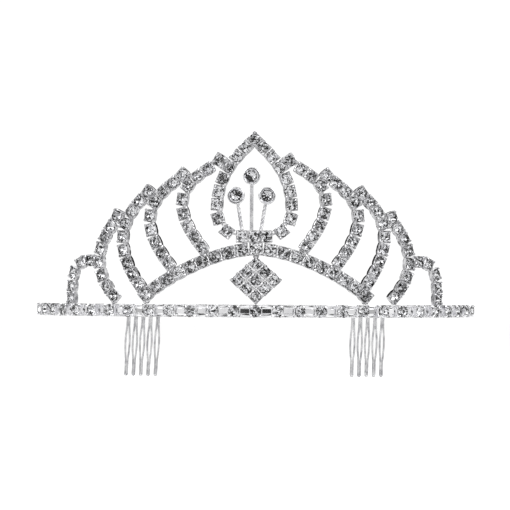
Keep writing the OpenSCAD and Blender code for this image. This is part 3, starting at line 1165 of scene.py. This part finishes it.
@dataclass
class Headband:
    """The springy strip: three arcs swept in one go, with round ends."""

    front_radius: float = 112.0
    front_half_angle: float = 20.0
    side_radius: float = 54.5
    height: float = 4.1
    thickness: float = 0.7
    end_u: float = 93.75
    corner: float = 0.2
    arc_steps: int = 40
    end_steps: int = 8
    end_share: float = 0.985
    node: str = "headband_strip"

    def build(self) -> Shape:
        """Sweeps the strip's rounded outline from one end to the other.

        Returns:
            The strip.
        """
        bm = bmesh.new()
        low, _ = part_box(self.node)
        half = math.radians(self.front_half_angle)
        front = Vector((0, low[1] + self.front_radius * MM, 0))
        away = (self.front_radius - self.side_radius) * MM
        left = Vector((-away * math.sin(half), front.y - away * math.cos(half), 0))
        right = Vector((-left.x, left.y, 0))
        turn = (self.end_u - self.front_radius * half) / self.side_radius
        tip = self.outline(bm, left, -(half + turn))
        geom = [*bm.verts, *bm.edges, *bm.faces]
        for centre, angle in ((left, turn), (front, 2 * half), (right, turn)):
            done = bmesh.ops.spin(
                bm,
                geom=geom,
                cent=centre,
                axis=(0, 0, 1),
                angle=angle,
                steps=self.arc_steps,
                use_duplicate=False,
            )
            geom = done["geom_last"]
        self.round_end(bm, [v for v in geom if isinstance(v, Vert)], right, 1)
        first = [v for v in bm.verts if any((v.co - p).length < 1e-9 for p in tip)]
        self.round_end(bm, first, left, -1)
        bmesh.ops.remove_doubles(bm, verts=bm.verts, dist=1e-7)
        return settled(bm)

    def outline(self, bm: Shape, centre: Vector, start: float) -> list[Vector]:
        """Lays the strip's rounded outline at its left end.

        Args:
            bm: The empty strip.
            centre: Centre of the left arc.
            start: Direction of the end from there, in radians from straight to the front.

        Returns:
            The outline's points.
        """
        out = Vector((math.sin(start), -math.cos(start), 0))
        middle = centre + out * (self.side_radius - self.thickness / 2) * MM
        spot = facing(
            middle + Vector((0, 0, self.height / 2 * MM)),
            Vector((math.cos(start), math.sin(start), 0)),
            out,
        )
        made = bmesh.ops.create_grid(bm, x_segments=1, y_segments=1, size=0.5, matrix=spot)
        size = Matrix.Diagonal((self.thickness * MM, self.height * MM, 1, 1))
        bmesh.ops.transform(bm, matrix=spot @ size @ spot.inverted(), verts=made["verts"])
        ease(bm, list(bm.verts), self.corner, 3, "VERTICES")
        return [v.co.copy() for v in bm.verts]

    def round_end(self, bm: Shape, ring: list[Vert], centre: Vector, way: int) -> None:
        """Carries the strip on past its end in narrowing steps.

        Args:
            bm: The strip.
            ring: The points of its last outline.
            centre: Centre of the arc that it follows.
            way: 1 to go on anticlockwise, -1 clockwise.
        """
        ends = [f for f in bm.faces if len(f.verts) > 4 and all(v in ring for v in f.verts)]
        bmesh.ops.delete(bm, geom=ends, context="FACES_ONLY")
        half = self.height / 2
        level = moved(0, 0, half * MM)
        before_x, before_h = 0.0, 1.0
        for k in range(1, self.end_steps + 1):
            round_by = math.pi / 2 * k / self.end_steps * self.end_share
            x, h = half * math.sin(round_by), math.cos(round_by)
            step = Matrix.Rotation(way * (x - before_x) / self.side_radius, 4, "Z")
            squeeze = level @ Matrix.Diagonal((1, 1, h / before_h, 1)) @ level.inverted()
            carry = Matrix.Translation(centre) @ step @ Matrix.Translation(-centre)
            ring = grow(bm, ring, squeeze @ carry)
            before_x, before_h = x, h
        close(bm, ring)

    def dress(self, rack: FinishRack) -> bpy.types.Object:
        """Makes the strip in bright plate."""
        made = piece("headband", self.build(), [rack.band], smooth=True, sharp=FLAT_EDGE)
        return seat(made, "band_plate", self.node)


# ---- spray --------------------------------------------------------------------


@dataclass
class SprayStalk:
    """One stalk of the spray: three wires twisted together, or two side by side in the middle."""

    which: Stalk
    strand: float = 0.29
    strand_apart: float = 1.05
    twist_pitch: float = 4.2
    end_zone: float = 0.4

    @property
    def node(self) -> str:
        """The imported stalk."""
        return f"stalk_{self.which.value}"

    def ends(self) -> tuple[Vector, Vector]:
        """Finds the stalk's ends.

        Returns:
            The middles of its foot and head.
        """
        points = packed_points(self.node)
        low = min(p.z for p in points) + self.end_zone * MM
        high = max(p.z for p in points) - self.end_zone * MM
        foot = [p for p in points if p.z < low]
        head = [p for p in points if p.z > high]
        return sum(foot, Vector()) / len(foot), sum(head, Vector()) / len(head)

    def build(self) -> Shape:
        """Draws the stalk's strands.

        Returns:
            The strands.
        """
        bm = bmesh.new()
        foot, head = self.ends()
        length = (head - foot).length
        twisted = self.which is not Stalk.MIDDLE
        turns = length / (self.twist_pitch * MM) if twisted else 0.0
        side = Vector((1, 0, 0))
        axis = facing(foot, head - foot, side)
        steps, strands = (96, 3) if twisted else (6, 2)
        apart = self.strand * self.strand_apart * MM
        for strand in range(strands):
            points = []
            for k in range(steps + 1):
                a = math.tau * (turns * k / steps + strand / strands)
                off = Vector((math.cos(a), math.sin(a), 0)) * apart
                points.append(axis @ (off + Vector((0, 0, length * k / steps))))
            draw_wire(bm, along(points, side), self.strand * MM)
        return settled(bm)

    def dress(self, rack: FinishRack) -> bpy.types.Object:
        """Makes the stalk in bright wire."""
        made = piece(f"spray_{self.node}", self.build(), [rack.wire], smooth=True)
        return seat(made, "setting_plate", self.node)


@dataclass
class SpraySetting:
    """A round cup with its lip rolled over the stone, and the stone."""

    which: Stalk
    die: Mesh
    wall: float = 0.2
    floor: float = CUP_FLOOR
    slack: float = 0.03
    pavilion: float = BrilliantCut.pavilion
    lip: float = 0.13

    def place(self) -> CupPlace:
        """Where the setting stands."""
        name = self.which.value
        return PackedChain(f"setting_{name}", f"stalk_stone_{name}").places()[0]

    def build(self, spot: CupPlace) -> Shape:
        """Spins the cup's outline round its axis.

        Args:
            spot: Where the setting stands.

        Returns:
            The cup.
        """
        r = spot.stone * SPRAY_WIDE / MM / 2 + self.slack
        rim = self.floor + self.pavilion * spot.stone / MM + self.lip
        outline = [
            (0.0, 0.0),
            (r * 0.55, 0.0),
            (r * 0.82, 0.12),
            (r + self.wall, 0.85),
            (r + self.wall, rim - 0.1),
            (r + self.wall * 0.8, rim + 0.1),
            (r + self.wall * 0.2, rim + 0.2),
            (r - self.wall * 0.5, rim + 0.22),
            (r - self.wall * 0.6, rim + 0.1),
            (r, rim - 0.08),
            (r, rim - 0.16),
            (0.0, self.floor - 0.04),
        ]
        bm = bmesh.new()
        verts = [bm.verts.new((x * MM, 0, z * MM)) for x, z in outline]
        edges = [bm.edges.new(pair) for pair in zip(verts, verts[1:])]
        bmesh.ops.spin(
            bm,
            geom=[*verts, *edges],
            cent=(0, 0, 0),
            axis=(0, 0, 1),
            angle=math.tau,
            steps=40,
            use_merge=True,
            use_duplicate=False,
        )
        bmesh.ops.remove_doubles(bm, verts=bm.verts, dist=1e-7)
        bmesh.ops.transform(settled(bm), matrix=spot.at, verts=bm.verts)
        return bm

    def dress(self, rack: FinishRack) -> list[bpy.types.Object]:
        """Makes the cup and its stone.

        Args:
            rack: The finishes.

        Returns:
            Both pieces.
        """
        spot = self.place()
        name = self.which.value
        cup = piece(f"spray_setting_{name}", self.build(spot), [rack.band], smooth=True)
        seat(cup, "setting_plate", f"setting_{name}")
        node = f"stalk_stone_{name}"
        stone = StoneSet(f"spray_stone_{name}", node, [spot], self.die, wide=SPRAY_WIDE)
        return [cup, stone.dress(rack)]


# ---- combs --------------------------------------------------------------------


@dataclass
class HairComb:
    """A comb: a flat bar, and one wire bent into eyed teeth."""

    side: Side
    teeth: int = 5
    pitch: float = 2.58
    wire: float = 0.65
    eye_width: float = 2.15
    eye_length: float = 10.9
    eye_drop: float = 3.1
    tooth_length: float = 19.3
    eye_steps: int = 16
    eye_fullness: float = 1.15
    turn_steps: int = 8
    leg: float = 0.368
    wire_top: float = 3.05
    bar_depth: float = 0.9
    bar_ease: float = 0.15
    behind_bar: float = 0.053
    long_share: float = 0.85
    lean: dict[Side, float] = field(
        default_factory=lambda: {Side.LEFT: 0.045, Side.RIGHT: 0.027}
    )

    @property
    def bend(self) -> float:
        """Radius of the turn from one tooth to the next."""
        return (self.pitch - 2 * self.leg) / 2

    @property
    def top(self) -> float:
        """Height at which the wire starts to turn over to the next tooth."""
        return self.wire_top - self.wire / 2 - self.bend

    def frame_on_strip(self) -> Matrix:
        """Reads the comb's frame back from its packed bar.

        Returns:
            X along the comb, Y up, Z to the front, and its origin at the bar's front, height 0.
        """
        points = packed_points(f"comb_{self.side.value}_bar")
        middle = sum(points, Vector()) / len(points)
        low = min(p.z for p in points)
        foot = [p for p in points if p.z < low + 1e-6]
        spans = [a - b for a in foot for b in foot]
        long = self.long_share * max(d.length for d in spans)
        along_bar = sum((d for d in spans if d.x > 0 and d.length > long), Vector()).normalized()
        out = along_bar.cross(Vector((0, 0, 1)))
        depth = max(abs((p - middle).dot(out)) for p in points)
        origin = middle + out * depth
        origin.z = 0.0
        return facing(origin, out, along_bar)

    def tooth(self, middle: float, side: int) -> list[Vector]:
        """One side of a tooth, from its top down to near its tip.

        Args:
            middle: The tooth's place along the comb, in millimetres.
            side: -1 or 1.

        Returns:
            Points in the comb's frame, in millimetres.
        """
        bulge = (self.eye_width - self.wire) / 2 - self.leg
        tip = -self.tooth_length + self.wire / 2 + self.leg
        steps = self.eye_steps
        rows = [self.top, 0.0, -self.eye_drop * 0.6]
        rows += [-self.eye_drop - self.eye_length * k / steps for k in range(steps + 1)]
        rows += [tip * 0.6 - (self.eye_drop + self.eye_length) * 0.4, tip]
        points = []
        for y in rows:
            share = (-y - self.eye_drop) / self.eye_length
            full = math.sin(math.pi * share) ** self.eye_fullness if 0 < share < 1 else 0.0
            swell = bulge * full
            points.append(Vector((middle + side * (self.leg + swell), y, 0)))
        return points

    def leaning(self, point: Vector) -> Vector:
        """Leans a point of the teeth sideways by its depth below the bar."""
        return Vector((point.x + self.lean[self.side] * min(0.0, point.y), point.y, point.z))

    def path(self) -> list[Vector]:
        """Lays out the whole wire.

        Returns:
            Points in the comb's frame, in millimetres, from the first tooth to the last.
        """
        points: list[Vector] = []
        for i in range(self.teeth):
            middle = (i - (self.teeth - 1) / 2) * self.pitch
            down = self.tooth(middle, -1)
            points += down + self.half_turn(middle, down[-1].y, self.leg, -1)
            points += self.tooth(middle, 1)[::-1]
            if i < self.teeth - 1:
                points += self.half_turn(middle + self.pitch / 2, self.top, self.bend, 1)
        return points

    def half_turn(self, x: float, y: float, radius: float, way: int) -> list[Vector]:
        """Turns the wire round a point, from left to right.

        Args:
            x: The point's place along the comb, in millimetres.
            y: Its height.
            radius: Radius of the turn.
            way: 1 to go over the point, -1 to go under it.

        Returns:
            Points of the turn, without its ends.
        """
        angles = [math.pi * k / self.turn_steps for k in range(1, self.turn_steps)]
        return [
            Vector((x - radius * math.cos(a), y + way * radius * math.sin(a), 0)) for a in angles
        ]

    def build_wire(self) -> Shape:
        """Draws the wire.

        Returns:
            The wire.
        """
        bm = bmesh.new()
        at = self.frame_on_strip()
        back = Vector((0, 0, -(self.bar_depth + self.behind_bar + self.wire / 2) * MM))
        points = [at @ (self.leaning(p) * MM + back) for p in self.path()]
        draw_wire(bm, along(points, at.col[2].xyz), self.wire / 2 * MM)
        return settled(bm)

    def build_bar(self) -> Shape:
        """Makes the bar, with its edges eased.

        Returns:
            The bar.
        """
        bm = bmesh.new()
        bm.from_mesh(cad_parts[f"comb_{self.side.value}_bar"].data)
        bmesh.ops.remove_doubles(bm, verts=bm.verts, dist=0.001 * MM)
        bmesh.ops.dissolve_limit(bm, angle_limit=0.01, verts=bm.verts, edges=bm.edges)
        ease(bm, list(bm.edges), self.bar_ease, 2, "EDGES")
        return settled(bm)

    def dress(self, rack: FinishRack) -> list[bpy.types.Object]:
        """Makes the bar and the wire.

        Args:
            rack: The finishes.

        Returns:
            Both pieces.
        """
        side = self.side.value
        bar = piece(f"comb_bar_{side}", self.build_bar(), [rack.wire], smooth=True)
        wire = piece(f"comb_teeth_{side}", self.build_wire(), [rack.wire], smooth=True)
        return [
            seat(bar, "comb_wire", f"comb_{side}_bar"),
            seat(wire, "comb_wire", f"comb_{side}_wire"),
        ]


# ---- studio -------------------------------------------------------------------


@dataclass
class Studio:
    """Pale floor, soft lights, a tent for the metal to mirror, and the camera."""

    distance: float = 688.0
    eye_height: float = 7.84
    eye_side: float = -0.32
    rise: float = 1.09
    roll: float = 0.3
    lens: float = 141.2
    floor_level: float = -60.0
    tent_radius: float = 4.0
    tent_light: float = 1.0
    room_light: float = 1.07
    floor_half: float = 12.0
    front_turn: float = 0.25
    band_panels: tuple[tuple[float, float], ...] = (
        (0, 0.84),
        (2.4, 0.84),
        (2.7, 0.01),
        (5.4, 0.01),
        (5.8, 0.84),
        (20, 0.74),
        (24, 0.90),
        (40, 0.70),
        (46, 0.35),
        (52, 0.95),
        (75, 0.8),
        (80, 0.25),
        (88, 0.9),
        (120, 0.7),
        (130, 0.2),
        (140, 0.8),
    )
    band_edges: tuple[tuple[float, float], ...] = (
        (0.45, 0.0),
        (0.465, 1.0),
        (0.535, 1.0),
        (0.55, 0.0),
    )
    folds: tuple[tuple[float, float], ...] = (
        (0.40, 0.01),
        (0.43, 0.32),
        (0.46, 0.80),
        (0.55, 1.0),
        (0.64, 1.15),
    )
    fold_size: float = 3.4
    back_edge: tuple[tuple[float, float], ...] = ((0.80, 1.0), (0.84, 0.03))
    back_foot: tuple[tuple[float, float], ...] = ((0.51, 0.0), (0.54, 1.0))
    lamps: tuple[tuple[str, Place, float], ...] = (
        ("lamp_left", (-0.9, -0.9, 0.8), 4.0),
        ("lamp_right", (0.9, -0.9, 0.7), 3.5),
        ("lamp_back", (0.2, 0.9, 0.9), 3.5),
    )
    lamp_size: float = 0.9
    lamp_aim: Place = (0.0, 0.0, 0.02)

    def floor(self) -> None:
        """Lays the floor."""
        bm = bmesh.new()
        at = moved(0, 0, self.floor_level * MM)
        bmesh.ops.create_grid(bm, x_segments=1, y_segments=1, size=self.floor_half, matrix=at)
        made = piece("studio_floor", bm, [PaleFloor().material()], smooth=False)
        made.visible_glossy = False
        made.visible_transmission = False

    def round_stops(self) -> list[tuple[float, Tone]]:
        """Places the belt's panels round the tent, the same on both sides of its front.

        Returns:
            Ramp positions and their greys.
        """
        places = {
            ((self.front_turn + side * degrees / 360) % 1.0, light)
            for degrees, light in self.band_panels
            for side in (-1, 1)
        }
        return self.greys(sorted(places))

    @staticmethod
    def greys(stops: Iterable[tuple[float, float]]) -> list[tuple[float, Tone]]:
        """Turns positions and lights into ramp stops."""
        return [(at, (light, light, light)) for at, light in stops]

    def tent(self) -> None:
        """Hangs the round tent that metal and stones mirror and that the camera doesn't see."""
        bm = bmesh.new()
        bmesh.ops.create_uvsphere(bm, u_segments=32, v_segments=16, radius=self.tent_radius)
        bmesh.ops.reverse_faces(bm, faces=bm.faces)
        bench = NodeBench("tent_cloth")
        place = bench.add("ShaderNodeTexCoord").outputs["Object"]
        around = bench.add("ShaderNodeTexGradient", Vector=place)
        around.gradient_type = "RADIAL"
        apart = bench.add("ShaderNodeSeparateXYZ", Vector=place)
        r = self.tent_radius
        depth, height = (bench.spread(apart.outputs[axis], 0.0, 1.0, -r, r) for axis in "YZ")
        panels = bench.ramp(around.outputs["Fac"], self.round_stops())
        belt = bench.ramp(height, self.greys(self.band_edges))
        above = bench.ramp(height, self.greys(self.back_foot))
        behind = bench.ramp(depth, self.greys(self.back_edge))
        cloth = bench.ramp(bench.noise(self.fold_size), self.greys(self.folds))
        open_cloth = bench.blend(belt, cloth, panels)
        lit = bench.blend(above, open_cloth, bench.product(open_cloth, behind))
        glow = bench.add("ShaderNodeEmission", Color=lit, Strength=self.tent_light)
        bench.link(glow.outputs["Emission"], bench.output.inputs["Surface"])
        made = piece("studio_tent", bm, [bench.material], smooth=True)
        made.visible_camera = False
        made.visible_diffuse = False
        made.visible_shadow = False

    def lamp(self, name: str, place: Vector, power: float) -> None:
        """Hangs a soft square lamp that points at the tiara.

        Args:
            name: The lamp's name.
            place: Where it hangs, in metres.
            power: Its power, in watts.
        """
        light = bpy.data.lights.new(name, "AREA")
        light.shape = "SQUARE"
        light.size = self.lamp_size
        light.energy = power
        made = bpy.data.objects.new(name, light)
        made.matrix_world = facing(place, place - Vector(self.lamp_aim), Vector((1, 0.01, 0)))
        made.visible_camera = False
        bpy.context.scene.collection.objects.link(made)

    def sky(self) -> None:
        """Fills the room with even white light."""
        world = bpy.data.worlds.new("studio_room")
        world.use_nodes = True
        ground = world.node_tree.nodes["Background"]
        ground.inputs["Color"].default_value = (1.0, 1.0, 1.0, 1.0)
        ground.inputs["Strength"].default_value = self.room_light
        bpy.context.scene.world = world

    def camera(self) -> None:
        """Sets the camera square in front, a little above the headband's lower edge."""
        lens = bpy.data.cameras.new("camera")
        lens.lens = self.lens
        lens.sensor_width = 36.0
        lens.clip_start = 0.01
        lens.clip_end = 50.0
        made = bpy.data.objects.new("camera", lens)
        made.matrix_world = (
            moved(self.eye_side * MM, -self.distance * MM, self.eye_height * MM)
            @ turned("X", 90 + self.rise)
            @ turned("Z", self.roll)
        )
        bpy.context.scene.collection.objects.link(made)
        bpy.context.scene.camera = made

    def build(self) -> None:
        """Sets up the whole studio."""
        self.floor()
        self.tent()
        self.sky()
        self.camera()
        for name, place, power in self.lamps:
            self.lamp(name, Vector(place), power)


# ---- the whole tiara ----------------------------------------------------------


@dataclass
class Tiara:
    """All of the tiara's pieces."""

    rack: FinishRack
    die: Mesh

    @staticmethod
    def chains() -> list[str]:
        """Names the cup chains apart from the headband's.

        Returns:
            What each chain's and its stones' node names start with.
        """
        petals = [f"petal_{number}_{side.value}" for number in range(1, 6) for side in Side]
        return ["arch", "teardrop", *petals, "diamond"]

    def build(self) -> None:
        """Builds and dresses every piece."""
        Headband().dress(self.rack)
        places = PackedChain("band_chain", "band_stones").places()
        places.sort(key=lambda p: p.middle.x)
        BandChain("band_cups", "band_chain", places).dress(self.rack)
        StoneSet("band_brilliants", "band_stones", places, self.die).dress(self.rack)
        for stem in self.chains():
            chain, stones = f"{stem}_chain", f"{stem}_stones"
            places = PackedChain(chain, stones).places()
            petal = stem.startswith("petal")
            drawn, wide = (PETAL_DRAWN, PETAL_WIDE) if petal else (CHAIN_DRAWN, CHAIN_WIDE)
            cups = CupChain(f"{stem}_cups", chain, places, most_drawn=drawn, wide=wide)
            cups.dress(self.rack)
            grown = PETAL_WIDE if petal else 1.0
            brilliants = StoneSet(f"{stem}_brilliants", stones, places, self.die, wide=grown)
            brilliants.dress(self.rack)
        for which in Stalk:
            SprayStalk(which).dress(self.rack)
            SpraySetting(which, self.die).dress(self.rack)
        for side in Side:
            HairComb(side).dress(self.rack)
        for node in ("crown_solder", "comb_solder"):
            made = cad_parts[node]
            made.data.materials.clear()
            made.data.materials.append(self.rack.solder)
            LOG.info("%s: solder skin", node)


def main() -> None:
    """Builds the studio and the tiara."""
    logging.basicConfig(level=logging.INFO, format="%(name)s: %(message)s")
    bpy.context.scene.view_settings.view_transform = "Standard"
    Studio().build()
    Tiara(FinishRack(), BrilliantCut().die()).build()
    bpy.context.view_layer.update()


if __name__ == "__main__":
    main()
